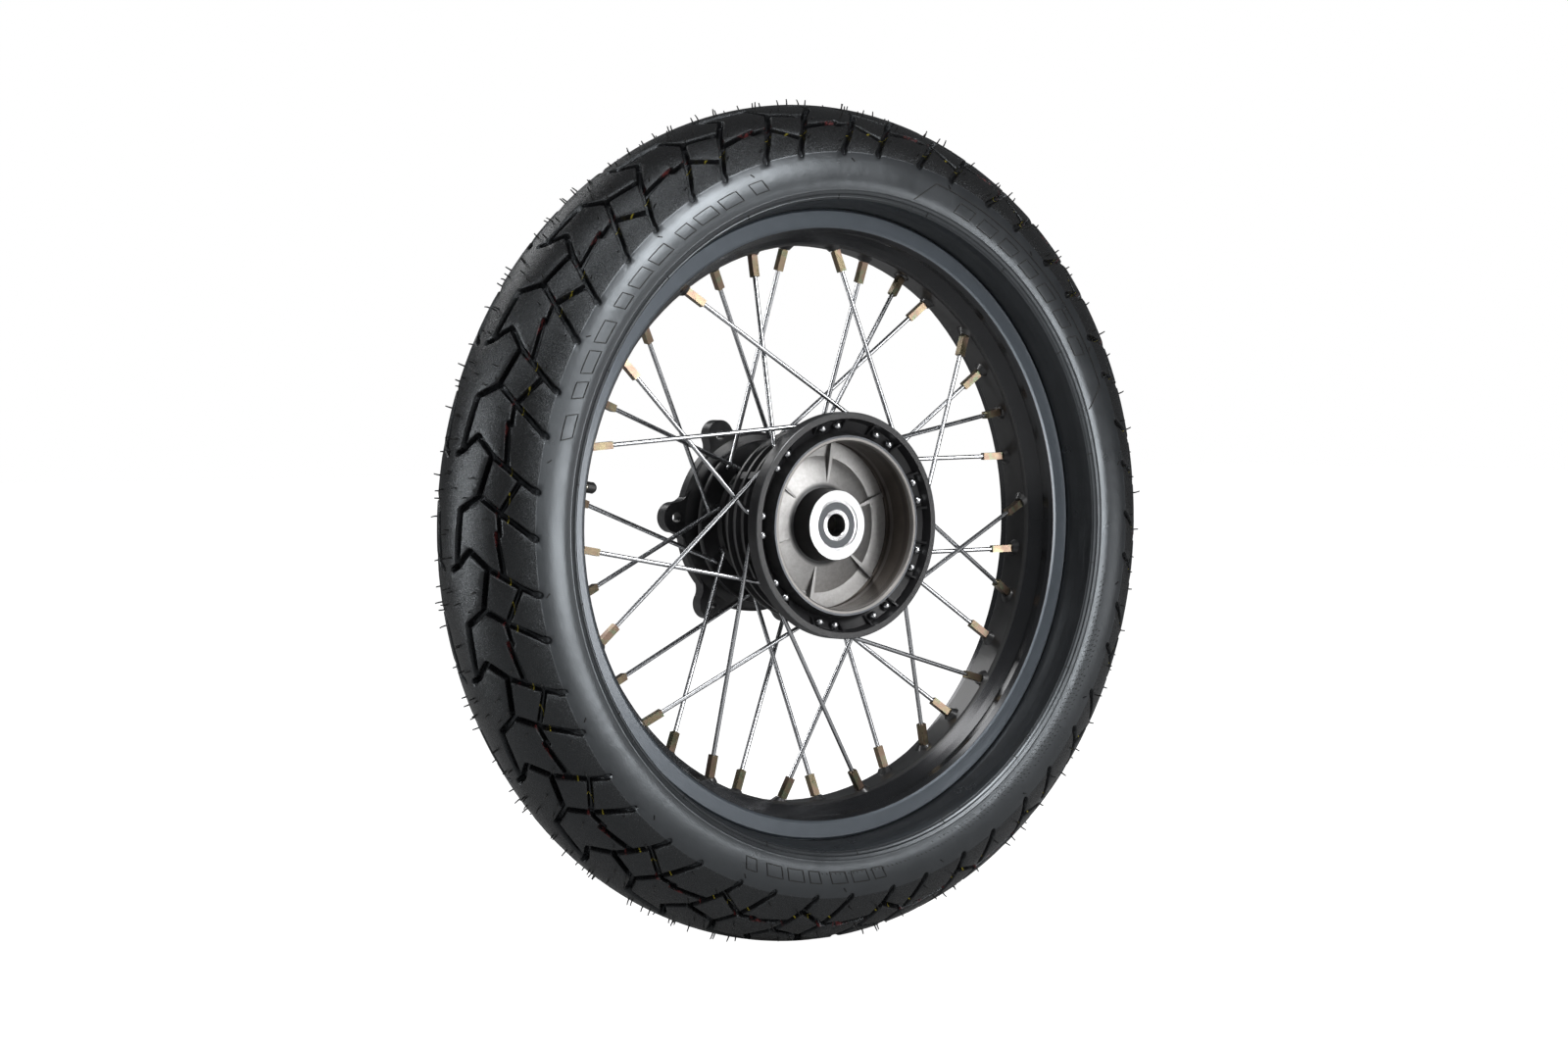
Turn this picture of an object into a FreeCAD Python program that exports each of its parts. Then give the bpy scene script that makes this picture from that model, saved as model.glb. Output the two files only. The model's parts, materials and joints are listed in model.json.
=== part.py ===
import FreeCAD, Part
import math
import os

import Sketcher

# Spoked motorcycle wheel with a drum-brake hub and a cush-drive sprocket carrier.
# Millimetres. The origin is the wheel centre on the axle axis. +Z is up, +X is forward,
# +Y is the axle axis, from the brake-drum side towards the sprocket side.

V = FreeCAD.Vector
doc = FreeCAD.newDocument("spoked_wheel")

# ---------------------------------------------------------------- sizes

SIZES = {
    # tyre, 120/80-18
    "tyre_crown_r": (324.6, "crown radius"),
    "tyre_arc_r": (59.2, "radius of the round outer cross-section"),
    "tyre_mid_r": (265.4, "radius at the widest point"),
    "tyre_half_width": (59.2, "half of the section width"),
    "tyre_side_in": (53.2, "half width of the casing inside"),
    "tyre_crown_in": (311.4, "crown radius inside the casing"),
    "tyre_cavity_arc": (55.0, "arc of the casing inside"),
    "tyre_low_r": (250.0, "lower sidewall radius"),
    "tyre_low_out": (55.0, "lower sidewall, outside half width"),
    "tyre_low_in": (46.0, "lower sidewall, inside half width"),
    "tyre_low_arc": (30.0, "lower sidewall arc"),
    "tyre_heel_r": (243.8, "where the tyre leaves the rim flange"),
    "bead_r": (228.8, "bead seat radius of the tyre"),
    "bead_out": (28.2, "outside of the bead"),
    "bead_toe": (16.5, "inside toe of the bead"),
    "groove_floor_r": (58.7, "arc of the groove floor"),
    "groove_mid_r": (258.9, "centre of the groove floor arc"),
    "groove_top_r": (64.0, "outside of the groove cutter"),
    "groove_width": (4.2, "width of a shoulder groove"),
    # rim, 18 inch
    "rim_edge_r": (243.2, "flange edge radius"),
    "rim_half": (33.0, "half of the outside width"),
    "rim_flange_in": (28.6, "inner face of the flange"),
    "rim_seat_r": (228.6, "bead seat radius"),
    "rim_under_r": (226.0, "underside of the bead seat"),
    "rim_bed_r": (216.0, "spoke bed, hub side"),
    "rim_bed_in": (219.5, "spoke bed, tyre side"),
    "dimple_r": (7.6, "foot of a spoke dimple"),
    "dimple_top_r": (4.6, "top of a spoke dimple"),
    "dimple_h": (4.6, "height of a spoke dimple"),
    "strap_r": (225.6, "rim strap inside radius"),
    "strap_half": (10.5, "half width of the rim strap"),
    # valve
    "valve_angle": (171.2, "valve position round the rim"),
    "stem_r": (3.8, "valve stem radius"),
    "nut_r": (6.2, "valve nut, centre to corner"),
    "valve_foot_r": (229.0, "base of the valve stem"),
    "stem_len": (26.0, "valve stem length"),
    "valve_foot_w": (9.0, "radius of the valve foot"),
    "valve_foot_h": (2.0, "thickness of the valve foot"),
    "nut_seat_r": (215.8, "seat of the valve nut"),
    "nut_h": (2.6, "thickness of the valve nut"),
    "cap_mouth_r": (207.6, "open end of the valve cap"),
    "cap_len": (6.6, "length of the cap sleeve"),
    "cap_r": (4.35, "valve cap radius"),
    "cap_tip_r": (198.0, "tip of the valve cap"),
    # hub
    "boss_r": (26.7, "drum-side bearing boss"),
    "boss_y": (-42.3, "face of the drum-side boss"),
    "seat_r": (20.0, "bearing seat"),
    "shoulder_r": (15.5, "bearing shoulder"),
    "drum_r": (65.0, "brake drum bore"),
    "liner_r": (67.6, "outside of the iron liner"),
    "drum_lip_y": (-54.5, "mouth of the brake drum"),
    "drum_floor_y": (-18.5, "bottom of the brake drum"),
    "flange_r": (87.2, "drum-side spoke flange"),
    "flange_y": (-55.6, "front edge of the drum-side flange"),
    "web_back_y": (-41.8, "back of the drum-side spoke web"),
    "barrel_r": (70.5, "barrel between the fins"),
    "fin_r": (74.0, "cooling fins"),
    "neck_r": (45.8, "barrel neck on the sprocket side"),
    "far_flange_r": (64.5, "sprocket-side spoke flange"),
    "far_face_y": (52.5, "outer face of the sprocket-side flange"),
    "far_back_y": (48.0, "inner face of the sprocket-side flange"),
    "cush_r": (42.0, "cush-drive cavity"),
    "cush_floor_y": (2.0, "bottom of the cush-drive cavity"),
    "cush_mouth_y": (59.0, "mouth of the cush-drive cavity"),
    "cush_boss_r": (28.2, "bearing boss in the cush-drive cavity"),
    "hub_bearing_y": (22.0, "shoulder of the sprocket-side hub bearing"),
    "drum_bearing_y": (-29.3, "shoulder of the drum-side hub bearing"),
    # bearings, 17 x 40 x 12
    "bore_r": (8.5, "axle bore"),
    "bearing_w": (12.0, "bearing width"),
    "ball_r": (3.35, "ball"),
    "ball_pitch_r": (14.25, "ball pitch circle"),
    "race_arc": (3.45, "race groove"),
    "inner_race_r": (12.1, "shoulder of the inner race"),
    "outer_race_r": (16.7, "shoulder of the outer race"),
    "seal_seat_r": (17.8, "seal seat in the outer race"),
    "spacer_r": (11.6, "outside of the spacer tubes"),
    # sprocket carrier
    "carrier_bearing_y": (62.0, "shoulder of the carrier bearing"),
    "carrier_in_y": (60.0, "inner face of the carrier"),
    "carrier_near_y": (63.0, "inner face of the carrier rim"),
    "carrier_seat_y": (73.0, "sprocket seat"),
    "carrier_rim_r": (71.0, "carrier rim"),
    "pilot_r": (29.0, "sprocket pilot"),
    "pilot_y": (82.0, "end of the sprocket pilot"),
    "bolt_r": (76.5, "sprocket bolt circle radius"),
    "bolt_hole_r": (4.2, "sprocket bolt hole"),
    "lobe_r": (12.0, "carrier lobe"),
    "lobe_angle": (176.5, "first lobe"),
    "collar_r": (12.4, "collar"),
    "collar_y": (90.0, "end of the collar"),
    # spokes and nipples
    "spoke_r": (1.7, "spoke"),
    "spoke_bend_r": (7.0, "bend of a spoke behind the flange"),
    "spoke_head_r": (3.3, "spoke head"),
    "nipple_seat_r": (221.6, "centre of the nipple heads"),
    "nipple_head_r": (3.6, "nipple head"),
    "nipple_shank_r": (2.75, "nipple shank in the rim"),
    "nipple_flat_r": (3.9, "nipple square, centre to corner"),
    "nipple_shank_len": (12.0, "nipple shank length"),
    "nipple_square_at": (8.6, "start of the nipple square, from the head centre"),
    "nipple_square_len": (16.9, "length of the nipple square"),
    "spoke_tip": (4.0, "end of the spoke, from the head centre of its nipple"),
}

sheet = doc.addObject("Spreadsheet::Sheet", "sizes")
for row, (name, (value, note)) in enumerate(SIZES.items(), start=1):
    sheet.set("A%d" % row, note)
    sheet.set("B%d" % row, str(value))
    sheet.setAlias("B%d" % row, name)
doc.recompute()


def num(term):
    """Value of a size: a number, an alias, or an alias with an offset."""
    if isinstance(term, tuple):
        return num(term[0]) + term[1]
    return float(sheet.get(term)) if isinstance(term, str) else float(term)


def minus(term):
    """The size on the other side of the middle plane."""
    return -num(term)


def bind(obj, prop, term):
    """Bind a property to the sheet when its size is named there."""
    if isinstance(term, tuple):
        obj.setExpression(prop, "sizes.%s + (%.4f)" % term)
    elif isinstance(term, str):
        obj.setExpression(prop, "sizes.%s" % term)


# ---------------------------------------------------------------- builders

nodes = []


def body(label, node=True):
    b = doc.addObject("PartDesign::Body", label)
    b.Label = label
    b.AllowCompound = True
    if node:
        nodes.append(b)
    return b


def nine(label, b):
    """Node of nine copies of a body, evenly spaced about the axle axis."""
    array = doc.addObject("App::Link", label + "_array")
    array.LinkedObject = b
    array.ElementCount = 9
    array.ShowElement = False
    array.PlacementList = [FreeCAD.Placement(V(0, 0, 0), FreeCAD.Rotation(V(0, 1, 0), -40 * k))
                           for k in range(9)]
    group = doc.addObject("Part::Compound", label)
    group.Label = label
    group.Links = [array]
    nodes.append(group)


def y_axis(b):
    return [f for f in b.Origin.OriginFeatures if f.Role == "Y_Axis"][0]


def outline(b, name, loops, placement=None):
    """Fully constrained sketch. A point is (x, y) or (x, y, arc radius); a positive arc
    radius turns left on the way to the next point, a negative one turns right."""
    sk = b.newObject("Sketcher::SketchObject", name)
    if placement:
        sk.Placement = placement
    for points in loops:
        count = len(points)
        first = sk.GeometryCount
        ends = []
        xy = [V(num(p[0]), num(p[1]), 0) for p in points]
        for i, p in enumerate(points):
            a, c = xy[i], xy[(i + 1) % count]
            if len(p) == 2:
                sk.addGeometry(Part.LineSegment(a, c), False)
                ends.append((1, 2))
                continue
            turn = p[2]
            left = not (isinstance(turn, float) and turn < 0) and not isinstance(turn, list)
            r = num(turn[0]) if isinstance(turn, list) else abs(num(turn))
            chord = c - a
            rise = math.sqrt(max(r * r - chord.Length ** 2 / 4, 0))
            normal = V(-chord.y, chord.x, 0).normalize()
            mid = (a + c) * 0.5 + normal * (rise if left else -rise)
            start, stop = (a, c) if left else (c, a)
            circle = Part.Circle(mid, V(0, 0, 1), r)
            a0 = math.atan2(start.y - mid.y, start.x - mid.x)
            a1 = math.atan2(stop.y - mid.y, stop.x - mid.x)
            sk.addGeometry(Part.ArcOfCircle(circle, a0, a1 if a1 > a0 else a1 + 2 * math.pi), False)
            ends.append((1, 2) if left else (2, 1))
        for i in range(count):
            j = (i + 1) % count
            sk.addConstraint(Sketcher.Constraint("Coincident", first + i, ends[i][1],
                                                 first + j, ends[j][0]))
        for i, p in enumerate(points):
            for kind, term in (("DistanceX", p[0]), ("DistanceY", p[1])):
                k = sk.addConstraint(Sketcher.Constraint(kind, -1, 1, first + i, ends[i][0],
                                                         num(term)))
                bind(sk, "Constraints[%d]" % k, term)
            if len(p) == 3:
                turn = p[2][0] if isinstance(p[2], list) else p[2]
                k = sk.addConstraint(Sketcher.Constraint("Radius", first + i, abs(num(turn))))
                if isinstance(turn, str):
                    bind(sk, "Constraints[%d]" % k, turn)
    return sk


def turned(b, name, *loops):
    """Turn closed outlines of (radius, y) points about the axle axis."""
    sk = outline(b, name + "_outline", loops)
    rev = b.newObject("PartDesign::Revolution", name)
    rev.Profile = sk
    rev.ReferenceAxis = (sk, ["V_Axis"])
    rev.Angle = 360
    return rev


def ring(b, name, r0, r1, y0, y1):
    return turned(b, name, [(r0, y0), (r1, y0), (r1, y1), (r0, y1)])


def polar(b, features, count):
    """Repeat features about the axle axis."""
    p = b.newObject("PartDesign::PolarPattern", "pattern")
    p.Originals = features
    p.Axis = (y_axis(b), [""])
    p.Angle = 360
    p.Occurrences = count
    b.Tip = p
    return p


def at(r, y, angle):
    """Point at a radius, an axle position and an angle from +X towards +Z."""
    a = math.radians(angle)
    return V(num(r) * math.cos(a), num(y), num(r) * math.sin(a))


def towards(origin, direction, side=None):
    """Placement at origin with its Z along direction, and its X near side if given."""
    z = V(direction).normalize()
    x = V(side) if side else (V(0, 1, 0) if abs(z.y) < 0.9 else V(1, 0, 0))
    y = z.cross(x).normalize()
    return FreeCAD.Placement(origin, FreeCAD.Rotation(y.cross(z), y, z, "ZXY"))


def solid(b, kind, name, placement, **sizes):
    """A placed PartDesign primitive, such as AdditiveCylinder."""
    f = b.newObject("PartDesign::" + kind, name)
    for prop, term in sizes.items():
        setattr(f, prop, term if prop == "Polygon" else num(term))
        bind(f, prop, term)
    f.Placement = placement
    return f


def sector(b, name, r0, r1, mid, half, y0, y1):
    """Block between two radii, round an angle, from y0 to y1."""
    low, high = math.radians(mid - half), math.radians(mid + half)
    a, c = num(r0), num(r1)
    loop = [(a * math.cos(low), a * math.sin(low)),
            (c * math.cos(low), c * math.sin(low), float(c)),
            (c * math.cos(high), c * math.sin(high)),
            (a * math.cos(high), a * math.sin(high), -float(a))]
    sk = outline(b, name + "_outline", [loop],
                 FreeCAD.Placement(V(0, num(y0), 0), FreeCAD.Rotation(V(1, 0, 0), 90)))
    pad = b.newObject("PartDesign::Pad", name)
    pad.Profile = sk
    pad.Length = num(y1) - num(y0)
    pad.Reversed = True
    return pad


# ---------------------------------------------------------------- tyre and tube

tyre = body("tyre")
turned(tyre, "casing", [
    ("tyre_mid_r", minus("tyre_half_width"), "tyre_arc_r"),
    ("tyre_crown_r", 0, "tyre_arc_r"),
    ("tyre_mid_r", "tyre_half_width", "tyre_low_arc"),
    ("tyre_low_r", "tyre_low_out"),
    ("tyre_heel_r", ("rim_half", 4.0)),
    ("tyre_heel_r", "bead_out"),
    (("bead_r", 3.0), "bead_out"),
    ("bead_r", ("bead_out", -3.0)),
    ("bead_r", "bead_toe"),
    (("bead_r", 3.0), ("bead_toe", -1.5)),
    (("tyre_heel_r", -2.0), 20.5),
    ("tyre_low_r", "tyre_low_in", ["tyre_low_arc"]),
    ("tyre_mid_r", "tyre_side_in", ["tyre_cavity_arc"]),
    ("tyre_crown_in", 0, ["tyre_cavity_arc"]),
    ("tyre_mid_r", minus("tyre_side_in"), ["tyre_low_arc"]),
    ("tyre_low_r", minus("tyre_low_in")),
    (("tyre_heel_r", -2.0), -20.5),
    (("bead_r", 3.0), minus(("bead_toe", -1.5))),
    ("bead_r", minus("bead_toe")),
    ("bead_r", minus(("bead_out", -3.0))),
    (("bead_r", 3.0), minus("bead_out")),
    ("tyre_heel_r", minus("bead_out")),
    ("tyre_heel_r", minus(("rim_half", 4.0))),
    ("tyre_low_r", minus("tyre_low_out"), "tyre_low_arc"),
])


# Shoulder grooves: angle round the wheel, and where the groove starts in the cross-section.
GROOVES = {"groove_long": (5.6, 24), "groove_short": (12.3, 34)}
GROOVE_END = 68
GROOVE_LEAN = 17.0
GROOVE_COUNT = 24


def shoulder_groove(name, side):
    """Curved bar that cuts one groove across a shoulder."""
    angle, start = GROOVES[name]
    f, t = num("groove_floor_r"), num("groove_top_r")
    c = num("groove_mid_r")
    lo, hi = math.radians(start), math.radians(GROOVE_END)
    pts = [(c + f * math.cos(lo), f * math.sin(lo)),
           (c + t * math.cos(lo), t * math.sin(lo), "groove_top_r"),
           (c + t * math.cos(hi), t * math.sin(hi)),
           (c + f * math.cos(hi), f * math.sin(hi), ["groove_floor_r"])]
    turn = FreeCAD.Rotation(V(0, 1, 0), -angle)
    tilt = FreeCAD.Rotation(V(1, 0, 0), GROOVE_LEAN if side > 0 else 180 - GROOVE_LEAN)
    sk = outline(tyre, name + "_outline", [pts], FreeCAD.Placement(V(0, 0, 0), turn.multiply(tilt)))
    cut = tyre.newObject("PartDesign::Pocket", name)
    cut.Profile = sk
    cut.Midplane = True
    cut.Length = num("groove_width")
    bind(cut, "Length", "groove_width")
    return cut


for side in (-1, 1):
    polar(tyre, [shoulder_groove(name, side) for name in GROOVES], GROOVE_COUNT)

tube = body("inner_tube")
turned(tube, "tube", [
    (("tyre_crown_in", -0.4), 0, 54.6), ("tyre_mid_r", 52.8, 29.6), (250.5, 45.4), (242.4, 20.0),
    (233.0, 14.4), (231.6, 14.0), (229.2, 12.2), (229.2, -12.2), (231.6, -14.0), (233.0, -14.4),
    (242.4, -20.0), (250.5, -45.4, 29.6), ("tyre_mid_r", -52.8, 54.6),
], [
    (("tyre_crown_in", -2.4), 0, 52.6), ("tyre_mid_r", 50.8, 27.6), (252.3, 44.2), (244.1, 18.7),
    (234.2, 12.6), (232.8, 12.2), (231.2, 11.0), (231.2, -11.0), (232.8, -12.2), (234.2, -12.6),
    (244.1, -18.7), (252.3, -44.2, 27.6), ("tyre_mid_r", -50.8, 52.6),
])

# ---------------------------------------------------------------- spoke lacing

# Each group of nine: head angle and radius, head y, bend angle, radius and y,
# nipple angle and y. The first angles are those of the group's first spoke.
LACING = {
    "drum_leading": ((13.5, 76.7, -47.9), (12.0, 79.5, -32.8), (-16.7, 0.0)),
    "drum_trailing": ((24.5, 76.7, -47.9), (27.6, 81.0, -38.9), (84.1, -6.0)),
    "sprocket_leading": ((4.0, 50.2, 55.2), (5.0, 50.7, 41.5), (33.8, 0.0)),
    "sprocket_trailing": ((14.0, 57.6, 55.2), (11.5, 58.5, 45.0), (-26.7, 6.0)),
}


def course(group):
    """Head centre, bend and nipple centre of the group's first spoke."""
    head, bend, seat = LACING[group]
    return (at(head[1], head[2], head[0]), at(bend[1], bend[2], bend[0]),
            at("nipple_seat_r", seat[1], seat[0]))


def spokes(group):
    b = body("one_spoke_" + group, node=False)
    head, bend, seat = course(group)
    run = seat - bend
    out = (head - bend).normalize()
    along = V(run).normalize()
    normal = along.cross(out).normalize()
    across = normal.cross(along)
    plane = FreeCAD.Placement(bend, FreeCAD.Rotation(along, across, normal, "XYZ"))
    half = math.acos(max(-1.0, min(1.0, along.dot(out)))) / 2
    trim = num("spoke_bend_r") / math.tan(half)
    h = plane.inverse().multVec(head)
    u = V(h).normalize()
    path = b.newObject("Sketcher::SketchObject", "path")
    path.Placement = plane
    t0, t1 = u * trim, V(trim, 0, 0)
    end = run.Length - num("spoke_tip")
    centre = t1 + V(0, num("spoke_bend_r"), 0)
    path.addGeometry(Part.LineSegment(h, t0), False)
    a0 = math.atan2(t0.y - centre.y, t0.x - centre.x)
    a1 = math.atan2(t1.y - centre.y, t1.x - centre.x)
    path.addGeometry(Part.ArcOfCircle(Part.Circle(centre, V(0, 0, 1), num("spoke_bend_r")),
                                      a0, a1 if a1 > a0 else a1 + 2 * math.pi), False)
    path.addGeometry(Part.LineSegment(t1, V(end, 0, 0)), False)
    path.addConstraint(Sketcher.Constraint("Coincident", 0, 2, 1, 1))
    path.addConstraint(Sketcher.Constraint("Coincident", 1, 2, 2, 1))
    section = b.newObject("Sketcher::SketchObject", "section")
    section.Placement = towards(head, bend - head)
    section.addGeometry(Part.Circle(V(0, 0, 0), V(0, 0, 1), num("spoke_r")), False)
    section.addConstraint(Sketcher.Constraint("Coincident", 0, 3, -1, 1))
    k = section.addConstraint(Sketcher.Constraint("Radius", 0, num("spoke_r")))
    bind(section, "Constraints[%d]" % k, "spoke_r")
    wire = b.newObject("PartDesign::AdditivePipe", "wire")
    wire.Profile = section
    wire.Spine = (path, ["Edge1", "Edge2", "Edge3"])
    solid(b, "AdditiveSphere", "head", FreeCAD.Placement(head, FreeCAD.Rotation()),
          Radius="spoke_head_r")
    nine("spokes_" + group, b)


def nipples(group):
    b = body("one_nipple_" + group, node=False)
    _, bend, seat = course(group)
    inward = (bend - seat).normalize()
    place = towards(seat, inward, V(0, 1, 0))
    shift = FreeCAD.Placement(V(0, 0, num("nipple_square_at")), FreeCAD.Rotation(V(0, 0, 1), 45))
    back = FreeCAD.Placement(V(0, 0, -6), FreeCAD.Rotation())
    solid(b, "AdditiveSphere", "head", place, Radius="nipple_head_r")
    solid(b, "AdditiveCylinder", "shank", place, Radius="nipple_shank_r",
          Height="nipple_shank_len")
    solid(b, "AdditivePrism", "square", place.multiply(shift), Polygon=4,
          Circumradius="nipple_flat_r", Height="nipple_square_len")
    solid(b, "SubtractiveCylinder", "thread", place.multiply(back),
          Radius=("spoke_r", 0.05), Height=40)
    nine("nipples_" + group, b)


# ---------------------------------------------------------------- rim, strap, valve

rim = body("rim")
half_rim = [
    ("rim_bed_r", 11.0), (("rim_bed_r", 1.0), 12.6), (222.4, 18.4), ("rim_under_r", 22.6),
    ("rim_under_r", 29.6), (228.4, 32.4), (230.5, "rim_half"), (241.6, "rim_half"),
    ("rim_edge_r", 31.6), ("rim_edge_r", 30.0), (241.8, "rim_flange_in"),
    (230.6, "rim_flange_in"), ("rim_seat_r", 26.4), ("rim_seat_r", 17.0), (226.4, 16.2),
    (221.4, 11.4), ("rim_bed_in", 9.6),
]


turned(rim, "section", half_rim + [(r, minus(y)) for r, y in reversed(half_rim)])
for group in LACING:
    _, bend, seat = course(group)
    inward = (bend - seat).normalize()
    base = towards(seat + inward * num("nipple_head_r"), inward)
    dimple = solid(rim, "AdditiveCone", "dimple", base, Radius1="dimple_r",
                   Radius2="dimple_top_r", Height="dimple_h")
    polar(rim, [dimple], 9)
for group in LACING:
    _, bend, seat = course(group)
    inward = (bend - seat).normalize()
    place = towards(seat, inward)
    hole = solid(rim, "SubtractiveCylinder", "hole", place, Radius=("nipple_shank_r", 0.2), Height=16)
    cup = solid(rim, "SubtractiveSphere", "cup", place, Radius=("nipple_head_r", 0.15))
    polar(rim, [hole, cup], 9)


def on_valve(term):
    """Placement on the valve axis at a radius, pointing to the axle."""
    point = at(term, 0, num("valve_angle"))
    return towards(point, -point)


solid(rim, "SubtractiveCylinder", "valve_hole",
      on_valve(("rim_bed_in", 4.0)), Radius=("stem_r", 0.4), Height=20)
solid(rim, "SubtractiveCylinder", "valve_flat",
      on_valve("nut_seat_r"), Radius=("nut_r", 0.2), Height=6)

strap = body("rim_strap")
ring(strap, "band", "strap_r", ("strap_r", 1.0), minus("strap_half"), "strap_half")
solid(strap, "SubtractiveCylinder", "valve_hole",
      on_valve(("strap_r", 3.0)), Radius=("stem_r", 0.4), Height=12)

stem = body("valve_stem")
solid(stem, "AdditiveCylinder", "tube", on_valve("valve_foot_r"), Radius="stem_r",
      Height="stem_len")
solid(stem, "AdditiveCylinder", "foot", on_valve("valve_foot_r"), Radius="valve_foot_w",
      Height="valve_foot_h")

nut = body("valve_nut")
solid(nut, "AdditivePrism", "nut", on_valve("nut_seat_r"), Polygon=6, Circumradius="nut_r",
      Height="nut_h")
solid(nut, "SubtractiveCylinder", "thread", on_valve("rim_bed_r"), Radius=("stem_r", 0.05),
      Height=6)

cap = body("valve_cap")
solid(cap, "AdditiveCylinder", "sleeve", on_valve("cap_mouth_r"), Radius="cap_r",
      Height="cap_len")
solid(cap, "AdditiveSphere", "tip", on_valve(("cap_tip_r", num("cap_r"))), Radius="cap_r")
solid(cap, "SubtractiveCylinder", "thread", on_valve(("cap_mouth_r", 1.4)),
      Radius=("stem_r", 0.05), Height="cap_len")

# ---------------------------------------------------------------- hub

hub = body("hub_shell")
fins = []
root, top = 2.2, 1.2
for y in (-30, -20, -10, 0):
    fins += [("barrel_r", y - root), ("fin_r", y - top), ("fin_r", y + top), ("barrel_r", y + root)]
turned(hub, "casting", [
    ("seat_r", "boss_y"), ("boss_r", "boss_y"), (28.4, -24.0), (53.0, "drum_floor_y"),
    ("drum_r", -20.0), ("liner_r", -20.0), ("liner_r", "drum_lip_y"), (69.2, "drum_lip_y"),
    (71.0, -41.6), (73.6, -43.6), (80.4, -47.6), (82.3, "flange_y"), (("flange_r", -0.7), "flange_y"),
    ("flange_r", ("flange_y", 0.7)), ("flange_r", -44.6), (("flange_r", -2.4), "web_back_y"),
    (74.0, "web_back_y"), ("barrel_r", -38.0),
] + fins + [
    (69.0, 4.0), (48.0, 13.5), ("neck_r", 17.0), ("neck_r", 45.5), (48.5, "far_back_y"),
    (63.5, "far_back_y"), ("far_flange_r", 49.0), ("far_flange_r", 51.5), (63.5, "far_face_y"),
    (46.6, "far_face_y"), ("neck_r", 53.4), ("neck_r", "cush_mouth_y"), ("cush_r", "cush_mouth_y"),
    ("cush_r", "cush_floor_y"), ("cush_boss_r", "cush_floor_y"), (26.8, 36.5),
    ("seat_r", 36.5), ("seat_r", "hub_bearing_y"), ("shoulder_r", "hub_bearing_y"),
    ("shoulder_r", "drum_bearing_y"), ("seat_r", "drum_bearing_y"),
])
# ribs across the bottom of the drum, bars across the fins, and the cush-drive vanes
rib = sector(hub, "rib", 27.0, 64.0, 20, 1.6, -23.0, -16.0)
polar(hub, [rib], 6)
for angle in (65, 148):
    bar = sector(hub, "bar", 69.0, 73.2, angle, 2.4, -40.0, 3.0)
    polar(hub, [bar], 2)
vane = sector(hub, "vane", 27.5, 43.0, 0, 5.0, 1.0, 50.0)
polar(hub, [vane], 3)
for group in LACING:
    head, bend, _ = course(group)
    hole = solid(hub, "SubtractiveCylinder", "spoke_hole", towards(head, bend - head),
                 Radius=("spoke_r", 0.3), Height=9 if "drum" in group else 12)
    polar(hub, [hole], 9)
    cup = solid(hub, "SubtractiveSphere", "spoke_cup", FreeCAD.Placement(head, FreeCAD.Rotation()),
                Radius=("spoke_head_r", 0.2))
    polar(hub, [cup], 9)

liner = body("brake_drum_liner")
turned(liner, "liner", [
    (("drum_r", 0.8), "drum_lip_y"), (("liner_r", -0.02), "drum_lip_y"),
    (("liner_r", -0.02), -20.2), ("drum_r", -20.2), ("drum_r", -22.0), (("drum_r", 0.5), -22.6),
    (("drum_r", 0.5), -24.4), ("drum_r", -25.0), ("drum_r", ("drum_lip_y", 0.8)),
])

# ---------------------------------------------------------------- bearings and spacers


def bearing(prefix, y0):
    """Sealed ball bearing whose inner end is at y0."""
    mid = num(y0) + num("bearing_w") / 2
    half = num("bearing_w") / 2
    pitch, arc = num("ball_pitch_r"), num("race_arc")
    a_in = math.sqrt(arc ** 2 - (pitch - num("inner_race_r")) ** 2)
    a_out = math.sqrt(arc ** 2 - (pitch - num("outer_race_r")) ** 2)
    outer = body(prefix + "_outer_race")
    turned(outer, "race", [
        (("seat_r", -0.02), mid - half), (("seat_r", -0.02), mid + half),
        ("seal_seat_r", mid + half), ("seal_seat_r", mid + 4.4), ("outer_race_r", mid + 4.4),
        ("outer_race_r", mid + a_out, ["race_arc"]), ("outer_race_r", mid - a_out),
        ("outer_race_r", mid - 4.4), ("seal_seat_r", mid - 4.4), ("seal_seat_r", mid - half),
    ])
    inner = body(prefix + "_inner_race")
    turned(inner, "race", [
        (("bore_r", 0.5), mid - half), ("inner_race_r", mid - half),
        ("inner_race_r", mid - a_in, ["race_arc"]), ("inner_race_r", mid + a_in),
        ("inner_race_r", mid + half), (("bore_r", 0.5), mid + half),
        ("bore_r", mid + half - 0.5), ("bore_r", mid - half + 0.5),
    ])
    balls = body(prefix + "_balls")
    cage = ring(balls, "cage", 13.6, 14.9, mid - 2.4, mid + 2.4)
    ball = solid(balls, "AdditiveSphere", "ball",
                 FreeCAD.Placement(at("ball_pitch_r", mid, 0), FreeCAD.Rotation()), Radius="ball_r")
    polar(balls, [ball], 8)
    seals = body(prefix + "_seals")
    for low in (mid - 5.4, mid + 4.6):
        ring(seals, "seal", ("inner_race_r", 0.15), ("seal_seat_r", -0.05), low, low + 0.8)


bearing("drum_bearing", ("drum_bearing_y", -12.0))
bearing("hub_bearing", "hub_bearing_y")
bearing("carrier_bearing", "carrier_bearing_y")

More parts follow.
